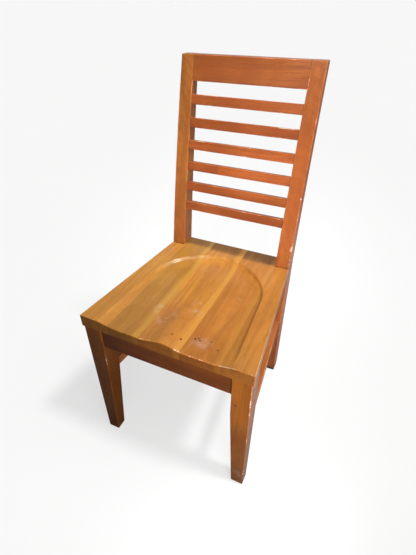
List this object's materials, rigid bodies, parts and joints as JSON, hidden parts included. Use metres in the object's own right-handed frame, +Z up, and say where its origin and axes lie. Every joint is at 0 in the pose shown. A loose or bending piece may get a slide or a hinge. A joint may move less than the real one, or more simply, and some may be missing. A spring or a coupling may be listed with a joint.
{
  "type": "dining chair",
  "caption": "Armless wooden dining chair with a saddled plank seat, a leaning slatted back and tapered legs joined by side stretchers.",
  "frame": {"origin": "on the floor under the middle of the chair's bounding box", "axes": "+Z up, +Y towards the back of the chair, +X to the right as seen from the front"},
  "size_m": [0.439, 0.5198, 0.946],
  "materials": {
    "seat_wood": "semi-gloss lacquer over golden brown stain",
    "post_wood": "semi-gloss lacquer over orange brown stain",
    "back_wood": "semi-gloss lacquer over red brown stain",
    "leg_wood": "semi-gloss lacquer over brown stain",
    "rail_wood": "semi-gloss lacquer over dark brown stain",
    "block_wood": "bare sawn wood",
    "dowel_wood": "bare turned wood",
    "screw_steel": "zinc plated",
    "glide": "worn moulded plastic"
  },
  "bodies": {
    "root": {"seat_board_1": "seat_wood", "seat_board_2": "seat_wood", "seat_board_3": "seat_wood", "seat_board_4": "seat_wood", "seat_board_5": "seat_wood", "left_post": "post_wood", "right_post": "post_wood", "crest_rail": "back_wood", "slat_1": "back_wood", "slat_2": "back_wood", "slat_3": "back_wood", "slat_4": "back_wood", "slat_5": "back_wood", "slat_6": "back_wood", "left_front_leg": "leg_wood", "right_front_leg": "leg_wood", "left_stretcher": "leg_wood", "right_stretcher": "leg_wood", "front_apron": "rail_wood", "rear_apron": "rail_wood", "left_apron": "rail_wood", "right_apron": "rail_wood", "front_left_block": "block_wood", "front_right_block": "block_wood", "rear_left_block": "block_wood", "rear_right_block": "block_wood", "apron_dowels": "dowel_wood", "crest_dowels": "dowel_wood", "block_screws": "screw_steel", "seat_screws": "screw_steel", "front_left_glide": "glide", "front_right_glide": "glide", "rear_left_glide": "glide", "rear_right_glide": "glide"}
  },
  "joints": []
}
